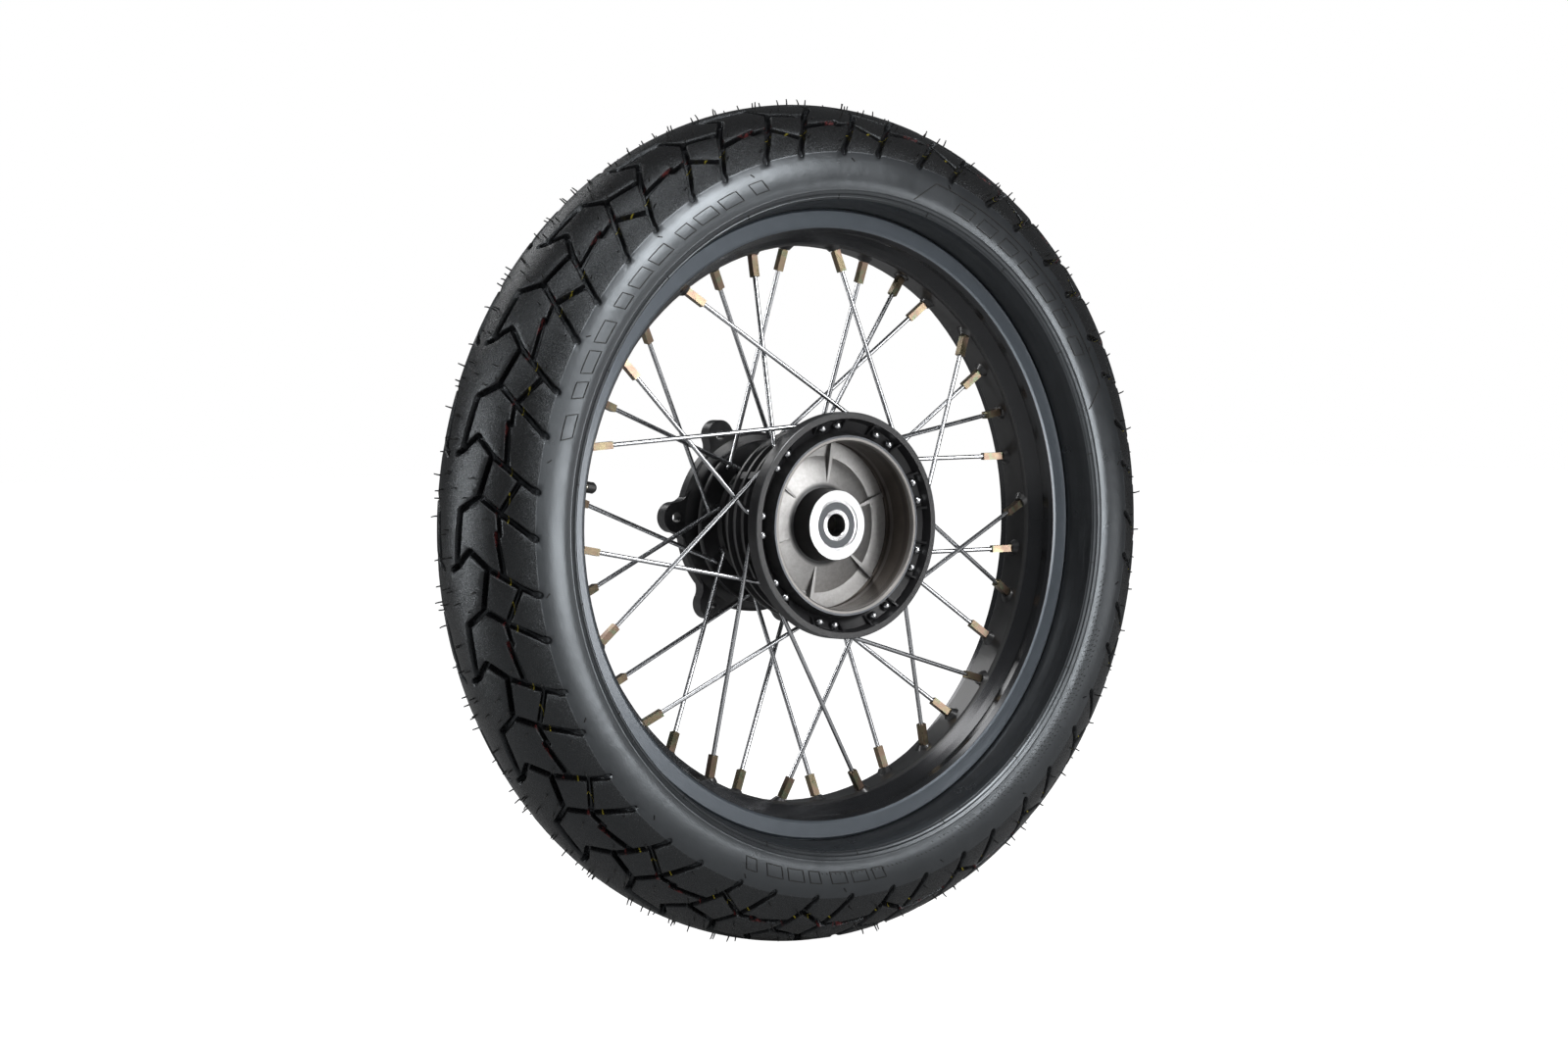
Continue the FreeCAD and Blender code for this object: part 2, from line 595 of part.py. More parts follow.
ring(body("bearing_spacer"), "tube", "bore_r", "spacer_r", "drum_bearing_y", "hub_bearing_y")
ring(body("carrier_spacer"), "tube", "bore_r", "spacer_r", ("hub_bearing_y", 12.0), "carrier_bearing_y")
turned(body("carrier_collar"), "collar", [
    ("bore_r", ("carrier_bearing_y", 12.0)), (11.6, ("carrier_bearing_y", 12.0)),
    ("collar_r", ("carrier_bearing_y", 12.8)), ("collar_r", ("collar_y", -0.6)),
    (("collar_r", -0.6), "collar_y"), (("bore_r", 0.5), "collar_y"), ("bore_r", ("collar_y", -0.5)),
])
ring(body("carrier_oil_seal"), "seal", ("collar_r", 0.1), ("seat_r", -0.02), 75.2, 81.2)

# ---------------------------------------------------------------- cush drive and carrier

rubbers = body("cush_rubbers")
block = sector(rubbers, "block", 28.8, 41.6, 30, 24.2, ("cush_floor_y", 0.4), 52.0)
polar(rubbers, [block], 6)

carrier = body("sprocket_carrier")
turned(carrier, "disc", [
    (15.0, 58.6), (25.0, 58.6), (27.0, "carrier_in_y"), (57.0, "carrier_in_y"), (59.0, 60.6),
    (68.6, "carrier_near_y"), ("carrier_rim_r", 64.4), ("carrier_rim_r", ("carrier_seat_y", -0.8)),
    (("carrier_rim_r", -0.8), "carrier_seat_y"), ("pilot_r", "carrier_seat_y"),
    ("pilot_r", ("pilot_y", -0.8)), (("pilot_r", -0.8), "pilot_y"), ("seat_r", "pilot_y"),
    ("seat_r", "carrier_bearing_y"), (15.0, "carrier_bearing_y"),
])
lobe_turn = FreeCAD.Rotation(V(0, 1, 0), -num("lobe_angle"))
lobe_plane = lobe_turn.multiply(FreeCAD.Rotation(V(1, 0, 0), 90))
lobe_sketch = outline(carrier, "lobe_outline", [[
    (60.0, -30.0), (67.0, -19.5, -12.0), ("bolt_r", -11.98, "lobe_r"), (88.5, 0.0, "lobe_r"),
    ("bolt_r", 11.98, -12.0), (67.0, 19.5), (60.0, 30.0),
]], FreeCAD.Placement(V(0, num("carrier_near_y"), 0), lobe_plane))
lobe = carrier.newObject("PartDesign::Pad", "lobe")
lobe.Profile = lobe_sketch
lobe.Length = num("carrier_seat_y") - num("carrier_near_y")
lobe.Reversed = True
polar(carrier, [lobe], 6)
bolt_hole = solid(carrier, "SubtractiveCylinder", "bolt_hole",
                  towards(at("bolt_r", 60, num("lobe_angle")), V(0, 1, 0)),
                  Radius="bolt_hole_r", Height=16)
polar(carrier, [bolt_hole], 6)
paddle = sector(carrier, "paddle", 29.2, 41.2, 60, 5.0, 8.0, 61.0)
polar(carrier, [paddle], 3)

for group in LACING:
    spokes(group)
for group in LACING:
    nipples(group)

# ---------------------------------------------------------------- checks and export

doc.recompute()
for obj in doc.Objects:
    if "Invalid" in obj.State or "Error" in obj.State:
        raise RuntimeError("%s: %s" % (obj.Name, obj.State))
os.makedirs("parts", exist_ok=True)
for b in nodes:
    if b.Shape.isNull() or not b.Shape.isValid() or not b.Shape.Solids:
        raise RuntimeError(b.Label + " is not valid")
for b in nodes:
    b.Shape.exportStep(os.path.join("parts", b.Label + ".step"))
    box = b.Shape.BoundBox
    print("%-28s solids %3d  volume %10.0f  y %7.2f %7.2f  r %.1f"
          % (b.Label, len(b.Shape.Solids), b.Shape.Volume, box.YMin, box.YMax, box.XMax))
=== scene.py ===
import json
import math

import bmesh
import bpy
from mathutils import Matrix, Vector, geometry


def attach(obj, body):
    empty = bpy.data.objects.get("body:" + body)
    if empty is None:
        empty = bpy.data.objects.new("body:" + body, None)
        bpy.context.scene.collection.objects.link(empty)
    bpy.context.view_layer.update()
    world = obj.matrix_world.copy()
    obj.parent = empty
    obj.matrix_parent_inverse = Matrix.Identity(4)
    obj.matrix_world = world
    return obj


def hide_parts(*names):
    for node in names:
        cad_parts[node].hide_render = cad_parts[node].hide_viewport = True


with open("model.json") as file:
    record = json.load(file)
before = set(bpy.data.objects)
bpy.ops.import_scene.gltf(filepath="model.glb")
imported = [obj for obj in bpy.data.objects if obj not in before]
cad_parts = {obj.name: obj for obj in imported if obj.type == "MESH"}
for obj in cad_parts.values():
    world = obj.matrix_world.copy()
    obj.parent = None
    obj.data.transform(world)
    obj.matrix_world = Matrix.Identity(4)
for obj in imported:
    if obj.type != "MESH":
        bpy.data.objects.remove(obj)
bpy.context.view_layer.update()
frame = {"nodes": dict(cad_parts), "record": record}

TAU = 2 * math.pi

# ---------------------------------------------------------------- driving sizes, in metres

CROWN = 0.3246          # tyre radius
SECTION = 0.0592        # radius of the round tyre section
SECTION_R = CROWN - SECTION
PITCHES = 24            # repeats of the tread pattern round the tyre
SEAM = -3.5             # mould seam, degrees round the section from the crown
TREAD_EDGE = 75.0       # where the tread mesh ends, degrees round the section
BEAD_ARC = 0.0300       # radius of the sidewall's section from its widest point to the bead
FLOOR_Z = -CROWN


def on_wheel(radius, y, turn):
    """Point at a radius, an axle position and an angle in degrees from +X towards +Z."""
    a = math.radians(turn)
    return Vector((radius * math.cos(a), y, radius * math.sin(a)))


def on_section(turn, lean, lift=0.0):
    """Point on the tyre, lean degrees round its section from the crown to the drum side."""
    a = math.radians(lean)
    r = SECTION + lift
    return on_wheel(SECTION_R + r * math.cos(a), -r * math.sin(a), turn)


def new_piece(name, verts, faces, body, material, smooth=35):
    """Mesh object on a body; edges sharper than smooth degrees stay sharp, None leaves it flat."""
    mesh = bpy.data.meshes.new(name)
    mesh.from_pydata([tuple(v) for v in verts], [], faces)
    mesh.validate()
    mesh.materials.append(material)
    obj = bpy.data.objects.new(name, mesh)
    bpy.context.scene.collection.objects.link(obj)
    if smooth:
        mesh.shade_smooth()
        mesh.set_sharp_from_angle(angle=math.radians(smooth))
    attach(obj, body)
    return obj


# ---------------------------------------------------------------- material helpers


class Nodes:
    """Short way to write a node tree."""

    def __init__(self, name):
        self.material = bpy.data.materials.new(name)
        self.material.use_nodes = True
        self.tree = self.material.node_tree
        self.shader = self.tree.nodes["Principled BSDF"]
        self.place = self.tree.nodes.new("ShaderNodeTexCoord").outputs["Object"]

    def add(self, kind, **settings):
        node = self.tree.nodes.new("ShaderNode" + kind)
        for key, value in settings.items():
            setattr(node, key, value)
        return node

    def join(self, out, socket):
        self.tree.links.new(out, socket)

    def put(self, socket, value):
        if isinstance(value, bpy.types.NodeSocket):
            self.join(value, socket)
        else:
            socket.default_value = value

    def set(self, **values):
        for key, value in values.items():
            self.put(self.shader.inputs[key.replace("_", " ")], value)

    def math(self, op, a, b=0.0):
        node = self.add("Math", operation=op)
        for socket, value in zip(node.inputs, (a, b)):
            self.put(socket, value)
        return node.outputs[0]

    def noise(self, scale, detail=4.0, rough=0.6):
        node = self.add("TexNoise", noise_type="FBM")
        self.join(self.place, node.inputs["Vector"])
        node.inputs["Scale"].default_value = scale
        node.inputs["Detail"].default_value = detail
        node.inputs["Roughness"].default_value = rough
        return node.outputs["Fac"]

    def ramp(self, value, low, high, a=0.0, b=1.0):
        node = self.add("MapRange")
        self.put(node.inputs["Value"], value)
        for socket, number in zip(list(node.inputs)[1:5], (low, high, a, b)):
            socket.default_value = number
        return node.outputs[0]

    def mix(self, share, a, b):
        node = self.add("Mix", data_type="RGBA")
        self.put(node.inputs[0], share)
        self.put(node.inputs[6], a if not isinstance(a, tuple) else (*a, 1.0))
        self.put(node.inputs[7], b if not isinstance(b, tuple) else (*b, 1.0))
        return node.outputs[2]

    def blend(self, share, a, b):
        """a where share is 0, b where it is 1, for numbers."""
        return self.math("ADD", self.math("MULTIPLY", share, b),
                         self.math("MULTIPLY", self.math("SUBTRACT", 1.0, share), a))

    def band(self, value, low, high, soft):
        """1 between low and high, with soft edges."""
        up = self.ramp(value, low - soft, low + soft)
        down = self.ramp(value, high - soft, high + soft, 1.0, 0.0)
        return self.math("MULTIPLY", up, down)

    def bump(self, height, strength, distance, under=None):
        node = self.add("Bump")
        self.put(node.inputs["Height"], height)
        node.inputs["Strength"].default_value = strength
        node.inputs["Distance"].default_value = distance
        if under is not None:
            self.join(under, node.inputs["Normal"])
        return node.outputs[0]

    def polar(self):
        """Radius from the axle and place along it."""
        split = self.add("SeparateXYZ")
        self.join(self.place, split.inputs[0])
        x, y, z = split.outputs
        radius = self.math("SQRT", self.math("ADD", self.math("MULTIPLY", x, x),
                                             self.math("MULTIPLY", z, z)))
        return radius, y

    def named(self, name):
        node = self.add("Attribute", attribute_name=name)
        return node.outputs["Fac"]


def turning_lines(n, along, pitch):
    """Fine lines left by a lathe tool, every pitch metres along a direction."""
    wave = n.math("SINE", n.math("MULTIPLY", along, TAU / pitch))
    return n.math("ADD", n.math("MULTIPLY", wave, 0.5), n.math("MULTIPLY", n.noise(900, 2), 0.8))


# ---------------------------------------------------------------- materials


WALL_STARTS = (69.3, 70.2)      # degrees round the section where the tread's grain gives way
YELLOW_MARK = (49.6, 50.3)      # paint marks round the tyre, degrees round the section
RED_MARK = (40.2, 41.4)


def rubber_tread():
    n = Nodes("tread_rubber")
    depth = n.named("depth")            # metres below the tread surface
    lean = n.named("lean")              # degrees round the section
    grain = n.noise(750, 5, 0.8)
    blotch = n.noise(38, 4, 0.55)
    groove = n.ramp(depth, 0.0006, 0.0030)
    side = n.ramp(lean, *WALL_STARTS)
    top = n.mix(blotch, (0.006, 0.006, 0.006), (0.012, 0.0115, 0.0115))
    top = n.mix(n.ramp(grain, 0.58, 0.70), top, (0.050, 0.049, 0.049))
    wall = n.mix(n.noise(60, 3), (0.012, 0.013, 0.014), (0.020, 0.021, 0.023))
    # painted shade: the grooves' walls and floors take a darker tone than the block tops
    painted_groove_shade = n.mix(n.noise(90, 3), (0.003, 0.003, 0.0035), (0.009, 0.009, 0.010))
    colour = n.mix(side, top, wall)
    colour = n.mix(groove, colour, painted_groove_shade)
    yellow = n.math("MULTIPLY", n.band(lean, *YELLOW_MARK, 0.2), n.ramp(depth, 0.0008, 0.0016))
    yellow = n.math("MULTIPLY", yellow, n.ramp(n.noise(420, 3), 0.38, 0.50))
    colour = n.mix(yellow, colour, (0.42, 0.35, 0.04))
    red = n.math("MULTIPLY", n.band(lean, *RED_MARK, 0.3), n.ramp(n.noise(240, 3), 0.46, 0.56))
    red = n.math("MULTIPLY", red, n.ramp(depth, 0.0002, 0.0010))
    colour = n.mix(n.math("MULTIPLY", red, 0.7), colour, (0.16, 0.03, 0.03))
    rough_top = n.ramp(grain, 0.35, 0.7, 0.34, 0.22)
    rough = n.blend(side, rough_top, n.ramp(n.noise(30, 3), 0.3, 0.7, 0.27, 0.33))
    rough = n.blend(groove, rough, 0.26)
    relief = n.blend(side, grain, n.math("MULTIPLY", n.noise(700, 4), 0.16))
    normal = n.bump(relief, 0.55, 0.0006)
    normal = n.bump(n.noise(26, 3), 0.3, 0.0016, normal)
    n.set(Base_Color=colour, Roughness=rough, Normal=normal,
          Specular_IOR_Level=n.blend(side, 0.55, 0.95), Specular_Tint=(0.87, 0.94, 1.0, 1.0))
    return n.material


def rubber_plain(name, colour, rough):
    n = Nodes(name)
    shade = n.mix(n.noise(160, 4), tuple(c * 0.7 for c in colour), tuple(c * 1.3 for c in colour))
    gloss = n.ramp(n.noise(220, 3), 0.3, 0.7, rough - 0.06, rough + 0.06)
    n.set(Base_Color=shade, Roughness=gloss, Normal=n.bump(n.noise(1500, 3), 0.3, 0.0002))
    return n.material


BED_EDGE = (0.2172, 0.2186)     # radii where the rim's bed and its flanges end
FLANGE_EDGE = (0.2284, 0.2290)
FLANGE_LINES = 0.0011           # pitch of the turning marks on the flanges


def rim_finish():
    n = Nodes("rim_finish")
    radius, _ = n.polar()
    bed = n.ramp(radius, *BED_EDGE, 1.0, 0.0)
    flange = n.ramp(radius, *FLANGE_EDGE)
    dust = n.noise(70, 5, 0.6)
    dark = n.mix(dust, (0.018, 0.019, 0.021), (0.030, 0.031, 0.034))
    bed_tone = n.mix(dust, (0.034, 0.034, 0.035), (0.050, 0.050, 0.051))
    flange_tone = n.mix(dust, (0.048, 0.058, 0.070), (0.068, 0.080, 0.094))
    colour = n.mix(bed, dark, bed_tone)
    colour = n.mix(flange, colour, flange_tone)
    rough = n.blend(bed, 0.22, 0.42)
    rough = n.blend(flange, rough, 0.30)
    lines = n.math("SINE", n.math("MULTIPLY", radius, TAU / FLANGE_LINES))
    relief = n.math("ADD", n.math("MULTIPLY", lines, n.math("MULTIPLY", flange, 0.3)),
                    n.math("MULTIPLY", n.noise(1200, 3), 0.5))
    n.set(Base_Color=colour, Metallic=0.55, Roughness=rough, Coat_Weight=0.35, Coat_Roughness=0.14,
          Normal=n.bump(relief, 0.25, 0.00012))
    return n.material


def black_casting(name, machined_and_highlight):
    """Satin black paint on a casting, with the machined tones and any painted highlight that
    machined_and_highlight gives.
    """
    n = Nodes(name)
    radius, y = n.polar()
    mottle = n.noise(120, 5, 0.65)
    colour = n.mix(mottle, (0.013, 0.013, 0.014), (0.026, 0.026, 0.028))
    rough = n.ramp(mottle, 0.3, 0.7, 0.30, 0.42)
    relief = n.math("MULTIPLY", n.noise(900, 4), 0.8)
    normal = n.bump(relief, 0.35, 0.00035)
    metal = 0.0
    for tone, share, roughness in machined_and_highlight(n, radius, y):
        colour = n.mix(share, colour, tone)
        rough = n.blend(share, rough, roughness)
        metal = n.math("MAXIMUM", metal, share)
    n.set(Base_Color=colour, Metallic=n.math("MULTIPLY", metal, 0.9), Roughness=rough,
          Normal=normal, Specular_IOR_Level=0.55)
    return n.material


BEARING_SEAT = (0.0201, 0.0203)     # radii where the bearing seats of hub and carrier end
DRUM_INSIDE = (0.0650, 0.0660)      # radii where the inside of the brake drum ends
DRUM_DEPTH = (-0.0440, -0.0150)     # the drum's bare floor along the axle
BOSS_FOOT = (0.0300, 0.0330)        # radii where the painted foot of the boss ends
BOSS_FACE = (-0.04222, -0.04214)    # the boss's machined face along the axle
LIP = (0.0670, 0.0695)              # radii of the drum's lip
LIP_FACE = (-0.0545, -0.0544)
FLANGE_EDGE_HIGHLIGHT = (0.0866, 0.0880)      # radii of the painted highlight along the front edge of the spoke flange
FLANGE_FACE = (-0.05535, -0.05505)
SPROCKET_FACE = (0.07299, 0.07300)  # the carrier's seat for the sprocket along the axle


def hub_machined_and_highlight(n, radius, y):
    """Tone, share and roughness of each surface of the hub that isn't black, and of the painted
    highlight on the spoke flange's front edge.
    """
    inside = n.ramp(radius, *DRUM_INSIDE, 1.0, 0.0)
    in_drum = n.math("MULTIPLY", inside, n.band(y, *DRUM_DEPTH, 0.0002))
    cast = n.mix(n.noise(260, 5, 0.7), (0.22, 0.215, 0.21), (0.42, 0.415, 0.41))
    in_drum = n.math("MULTIPLY", in_drum, n.ramp(radius, *BOSS_FOOT))
    face = n.math("MULTIPLY", n.ramp(y, *BOSS_FACE, 1.0, 0.0), inside)
    bright = n.mix(n.noise(60, 3), (0.62, 0.63, 0.64), (0.74, 0.75, 0.76))
    seat = n.ramp(radius, *BEARING_SEAT, 1.0, 0.0)
    lip = n.math("MULTIPLY", n.band(radius, *LIP, 0.0002), n.ramp(y, *LIP_FACE, 1.0, 0.0))
    # painted highlight: a thin light ring along the front edge of the spoke flange
    edge = n.math("MULTIPLY", n.band(radius, *FLANGE_EDGE_HIGHLIGHT, 0.0001),
                  n.ramp(y, *FLANGE_FACE, 1.0, 0.0))
    return [(cast, in_drum, 0.42), (bright, face, 0.24), (bright, seat, 0.25),
            ((0.10, 0.105, 0.115), lip, 0.3), ((0.24, 0.25, 0.26), edge, 0.28)]


def carrier_machined(n, radius, y):
    """Tone, share and roughness of each surface of the carrier that isn't black."""
    seat = n.ramp(y, *SPROCKET_FACE)
    bright = n.mix(n.noise(60, 3), (0.50, 0.51, 0.52), (0.62, 0.63, 0.64))
    bore = n.ramp(radius, *BEARING_SEAT, 1.0, 0.0)
    return [(bright, seat, 0.32), (bright, bore, 0.3)]


def bare_metal(name, tone, rough, lines=None, spots=120):
    """Bare or plated metal; lines is the pitch of turning marks along the axle, if any."""
    n = Nodes(name)
    shade = n.noise(spots, 4, 0.6)
    colour = n.mix(shade, tuple(c * 0.82 for c in tone), tuple(min(1.0, c * 1.1) for c in tone))
    if lines:
        radius, y = n.polar()
        relief = turning_lines(n, n.math("ADD", y, radius), lines)
    else:
        relief = n.noise(1600, 3)
    gloss = n.ramp(shade, 0.3, 0.7, rough - 0.05, rough + 0.07)
    n.set(Base_Color=colour, Metallic=1.0, Roughness=gloss, Normal=n.bump(relief, 0.18, 0.00006))
    return n.material


# bands in the drum, a painted highlight ring at the lip, then dark and worn iron: where along the
# axle, and the tone
DRUM_BANDS = [(-0.0560, -0.0505, (0.30, 0.29, 0.28)), (-0.0480, -0.0440, (0.06, 0.05, 0.045)),
              (-0.0300, -0.0262, (0.22, 0.20, 0.19))]


def drum_iron():
    n = Nodes("drum_iron")
    _, y = n.polar()
    rust = n.noise(95, 5, 0.7)
    colour = n.mix(rust, (0.060, 0.048, 0.040), (0.13, 0.112, 0.098))
    # the first band is a painted highlight ring at the drum's lip
    for low, high, tone in DRUM_BANDS:
        colour = n.mix(n.math("MULTIPLY", n.band(y, low, high, 0.0002), 0.75), colour, tone)
    normal = n.bump(turning_lines(n, y, 0.0006), 0.35, 0.00008)
    n.set(Base_Color=colour, Metallic=0.85, Roughness=n.ramp(rust, 0.3, 0.7, 0.30, 0.44),
          Normal=normal)
    return n.material


def passivated():
    """Yellow zinc on the nipples: straw, copper and green film over metal."""
    n = Nodes("nipple_plate")
    film = n.noise(85, 3, 0.5)
    straw = n.mix(n.ramp(film, 0.36, 0.60), (0.22, 0.185, 0.115), (0.215, 0.15, 0.115))
    colour = n.mix(n.ramp(n.noise(140, 3), 0.52, 0.66), straw, (0.17, 0.20, 0.13))
    n.set(Base_Color=colour, Metallic=1.0, Roughness=n.ramp(film, 0.3, 0.7, 0.24, 0.38),
          Normal=n.bump(n.noise(1400, 3), 0.2, 0.00008))
    return n.material


def plastic(name, colour, rough):
    n = Nodes(name)
    shade = n.mix(n.noise(300, 3), colour, tuple(c * 1.5 for c in colour))
    n.set(Base_Color=shade, Roughness=rough, Normal=n.bump(n.noise(1800, 3), 0.2, 0.0001))
    return n.material


TREAD = rubber_tread()
# the relief's rubber is darker than the wall's: painted shade along the raised outlines
SHADED_RELIEF = rubber_plain("wall_relief", (0.004, 0.004, 0.004), 0.55)
MATERIALS = {
    "tread_rubber": TREAD,
    "tube_rubber": rubber_plain("tube_rubber", (0.008, 0.008, 0.008), 0.8),
    "rim_finish": rim_finish(),
    "valve_brass": bare_metal("valve_brass", (0.70, 0.66, 0.55), 0.25),
    "cap_plastic": plastic("cap_plastic", (0.012, 0.012, 0.012), 0.38),
    "hub_casting": black_casting("hub_casting", hub_machined_and_highlight),
    "drum_iron": drum_iron(),
    "spoke_steel": bare_metal("spoke_steel", (0.58, 0.59, 0.61), 0.24, spots=60),
    "nipple_plate": passivated(),
    "bearing_steel": bare_metal("bearing_steel", (0.62, 0.62, 0.63), 0.18, lines=0.0003),
    "seal_rubber": rubber_plain("seal_rubber", (0.085, 0.092, 0.102), 0.42),
    "spacer_steel": bare_metal("spacer_steel", (0.46, 0.45, 0.43), 0.30, lines=0.0005),
    "carrier_casting": black_casting("carrier_casting", carrier_machined),
}

for part in frame["record"]["subparts"]:
    mesh = frame["nodes"][part["node"]].data
    mesh.materials.clear()
    mesh.materials.append(MATERIALS[part["material_slot"]])

# ---------------------------------------------------------------- tyre: tread pattern

# Grooves of one pitch on the drum side: points are (degrees round the wheel, degrees round
# the section), then half the width and the depth in metres.
GROOVES = [
    ([(177.0, 12.4), (184.3, 8.4)], 0.0025, 0.0068),
    ([(184.75, 2.8), (184.0, 11.0), (183.2, 15.0), (182.3, 20.2)], 0.0024, 0.0064),
    ([(177.0, 12.4), (175.3, 27.4)], 0.0026, 0.0068),
    ([(175.3, 27.4), (169.8, 33.9)], 0.0024, 0.0068),
    ([(167.4, 21.6), (169.7, 35.0), (171.2, 47.6), (172.7, 58.5), (173.9, 68.0)], 0.0025, 0.0064),
    ([(173.8, 67.6), (174.0, 69.8)], 0.0031, 0.0066),
    ([(175.3, 29.0), (177.1, 43.0), (178.8, 56.0), (180.6, 68.0)], 0.0025, 0.0064),
    ([(180.5, 67.6), (180.8, 69.8)], 0.0031, 0.0066),
    ([(172.7, 57.2), (177.2, 44.2)], 0.0023, 0.0062),
    ([(177.2, 43.0), (180.2, 44.6)], 0.0019, 0.0058),
    ([(180.0, 42.0), (185.9, 46.2)], 0.0023, 0.0058),
]
PITCH = 360.0 / PITCHES
DEGREE = 0.0054         # metres along the tread for a degree round the wheel, about
ARC = SECTION * math.pi / 180
# offsets from a groove's top edge, and the share of its depth there: a worn edge, a steep
# wall and a small fillet at the floor
STEPS = [(0.0007, 0.0), (0.0, 0.09), (-0.0010, 0.90), (-0.0015, 1.0)]
COLUMNS, ROWS = 12, 22  # steps round the wheel and across the tread in one pitch
START = 170.0           # degrees round the wheel where the pitch that is meshed begins
MARGIN = 0.004          # a groove reaches this far past its line, at most
# grooves get shallower over this many degrees before this lean, down to a least share
SHALLOW_SPAN, SHALLOW_END, SHALLOW_LEAST = 22.0, 78.0, 0.35


def flat(turn, lean):
    """Point of the tread laid out flat, in metres."""
    return Vector(((turn - START) * DEGREE, lean * ARC))


def nearest(point, line):
    """Distance from a point to a line of straight runs."""
    best = math.inf
    for a, b in zip(line, line[1:]):
        d = b - a
        share = max(0.0, min(1.0, (point - a).dot(d) / d.length_squared))
        best = min(best, (point - a - d * share).length)
    return best


def groove_lines():
    """All grooves that touch the meshed pitch, with copies from the pitches beside it."""
    out = []
    for shift in (-2, -1, 0, 1, 2):
        for points, half, depth in GROOVES:
            line = [flat(t + shift * PITCH, s) for t, s in points]
            low = min(p.x for p in line) - MARGIN
            high = max(p.x for p in line) + MARGIN
            if high > -0.001 and low < PITCH * DEGREE + 0.001:
                out.append((line, half, depth))
    return out


def sink(point, lines):
    """How far below the tread surface a point lies."""
    deepest = 0.0
    fade = max(SHALLOW_LEAST, min(1.0, (SHALLOW_END - point.y / ARC) / SHALLOW_SPAN))
    for line, half, depth in lines:
        edge = nearest(point, line) - half
        if edge >= STEPS[0][0]:
            continue
        share = 1.0
        for (o0, s0), (o1, s1) in zip(STEPS, STEPS[1:]):
            if edge >= o1:
                share = s0 + (s1 - s0) * (o0 - edge) / (o0 - o1)
                break
        deepest = max(deepest, share * depth * fade)
    return deepest


def capsule(line, radius):
    """Outline round each straight run of a line, with half an octagon at each end."""
    loops = []
    for a, b in zip(line, line[1:]):
        d = (b - a).normalized()
        side = Vector((-d.y, d.x))
        loop = []
        for centre, sign in ((b, 1), (a, -1)):
            for k in range(5):
                w = math.radians(-90 + 45 * k)
                loop.append(centre + (d * math.cos(w) + side * math.sin(w)) * radius * sign)
        loops.append(loop)
    return loops


def tread_patch():
    """Flat points and faces of one pitch of the drum-side half of the tread, and its grooves."""
    lines = groove_lines()
    wide = PITCH * DEGREE
    low, high = SEAM * ARC, TREAD_EDGE * ARC
    points, edges = [], []
    for i in range(COLUMNS + 1):
        for j in range(ROWS + 1):
            points.append(Vector((wide * i / COLUMNS, low + (high - low) * j / ROWS)))

    def grid(i, j):
        return i * (ROWS + 1) + j

    for i in range(COLUMNS):
        edges += [(grid(i, 0), grid(i + 1, 0)), (grid(i, ROWS), grid(i + 1, ROWS))]
    for j in range(ROWS):
        edges += [(grid(0, j), grid(0, j + 1)), (grid(COLUMNS, j), grid(COLUMNS, j + 1))]
    for line, half, _ in lines:
        for offset, _ in STEPS:
            for loop in capsule(line, half + offset):
                first = len(points)
                points += loop
                count = len(loop)
                edges += [(first + k, first + (k + 1) % count) for k in range(count)]
    verts, _, faces, _, _, _ = geometry.delaunay_2d_cdt(points, edges, [], 0, 1e-6)
    kept = []
    for face in faces:
        middle = sum((verts[k] for k in face), Vector((0.0, 0.0))) / len(face)
        if 0 < middle.x < wide and low < middle.y < high:
            kept.append(face)
    used = sorted({k for face in kept for k in face})
    index = {k: i for i, k in enumerate(used)}
    return [verts[k] for k in used], [[index[k] for k in face] for face in kept], lines


def other_side(lean):
    """The sprocket-side half mirrors the drum-side half about the seam."""
    reach = (TREAD_EDGE + SEAM) / (TREAD_EDGE - SEAM)
    return SEAM - (lean - SEAM) * reach


RINGS = [(0.2570, 0.0004), (0.2538, 0.0005), (0.2512, 0.0005), (0.2482, 0.0006)]
RING_HALF = 0.00045     # half the width of a raised ring; RINGS gives each one's radius and height
BEAD_TOP = (0.2440, 0.0356)
BEAD_TURN = 31.0        # degrees of the bead arc
BEAD_BOW = 0.0012       # how far the run from there to the bead bows out
# the bead and the inside up to its widest point, as (radius, half width)
BEAD = [(0.2436, 0.0330), (0.2436, 0.0284), (0.2330, 0.0282), (0.2296, 0.0268),
        (0.2288, 0.0240), (0.2288, 0.0170), (0.2318, 0.0150), (0.2418, 0.0205),
        (0.2500, 0.0460), (0.2570, 0.0505), (0.2654, 0.0532)]
INSIDE_RISE = 0.0460    # how far the inside reaches out from its widest point to the crown
EDGE_STEPS, ARC_STEPS, BOW_STEPS, INSIDE_STEPS = 26, 30, 12, 8


